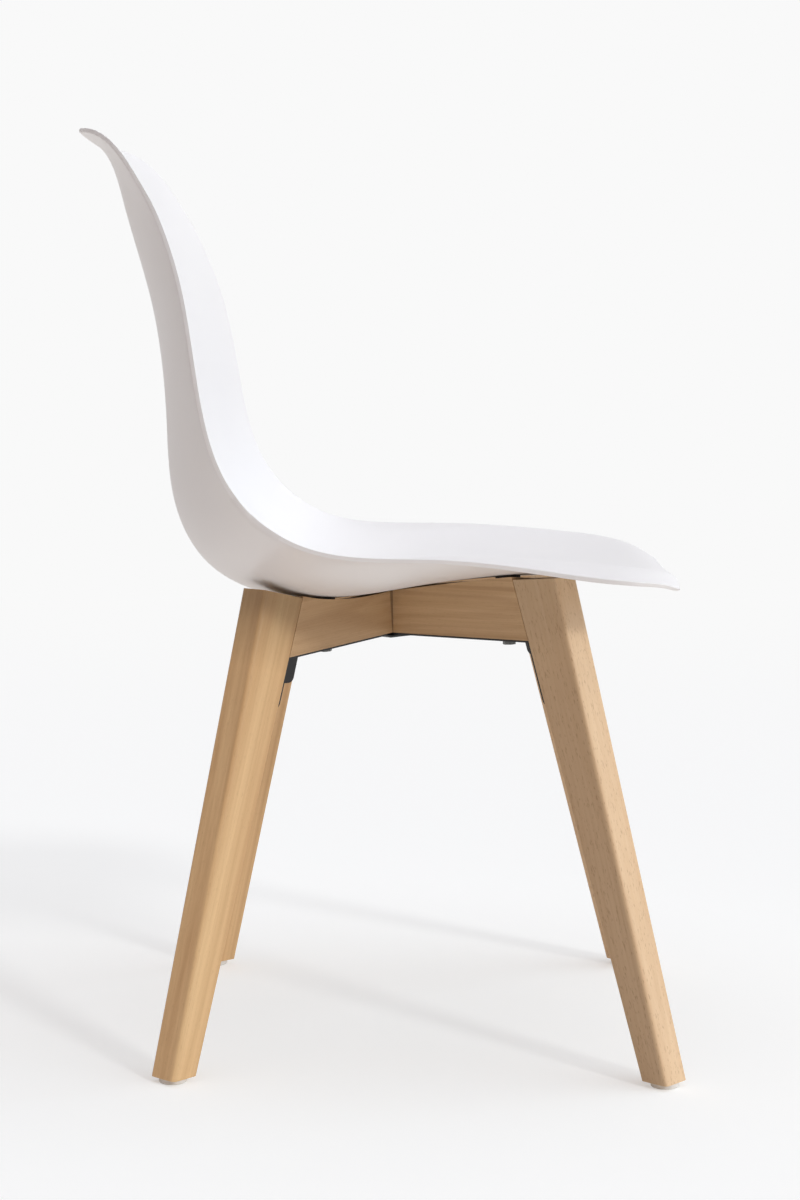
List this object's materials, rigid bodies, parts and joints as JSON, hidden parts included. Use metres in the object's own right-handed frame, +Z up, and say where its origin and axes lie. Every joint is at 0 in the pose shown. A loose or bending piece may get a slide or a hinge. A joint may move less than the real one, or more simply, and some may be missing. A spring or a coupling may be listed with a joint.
{
  "type": "dining chair",
  "caption": "Dining chair with a one-piece white plastic bucket shell bolted to a splayed beech leg base braced by crossed steel straps.",
  "frame": {"origin": "on the floor, under the middle of the whole chair's box", "axes": "+Z up, the chair faces -Y, +X to the sitter's left"},
  "size_m": [0.4592, 0.5238, 0.813],
  "materials": {
    "shell_plastic": "satin white polypropylene",
    "beech": "clear-lacquered beech",
    "black_steel": "black powder coat",
    "zinc_steel": "zinc plated",
    "pad_rubber": "matt black",
    "insert_brass": "turned",
    "glide_plastic": "milky, slightly translucent"
  },
  "bodies": {
    "root": {"seat_shell": "shell_plastic", "shell_inserts": "insert_brass", "strap_upper": "black_steel", "strap_lower": "black_steel", "centre_washer": "zinc_steel", "centre_screw": "zinc_steel", "leg_dowels": "beech", "tab_screws": "zinc_steel", "glide_nails": "zinc_steel", "shell_bolts_front": "zinc_steel", "shell_bolts_rear": "zinc_steel", "shell_pads_front": "pad_rubber", "shell_pads_rear": "pad_rubber", "leg_front_left": "beech", "rail_front_left": "beech", "glide_front_left": "glide_plastic", "leg_front_right": "beech", "rail_front_right": "beech", "glide_front_right": "glide_plastic", "leg_rear_left": "beech", "rail_rear_left": "beech", "glide_rear_left": "glide_plastic", "leg_rear_right": "beech", "rail_rear_right": "beech", "glide_rear_right": "glide_plastic"}
  },
  "joints": []
}
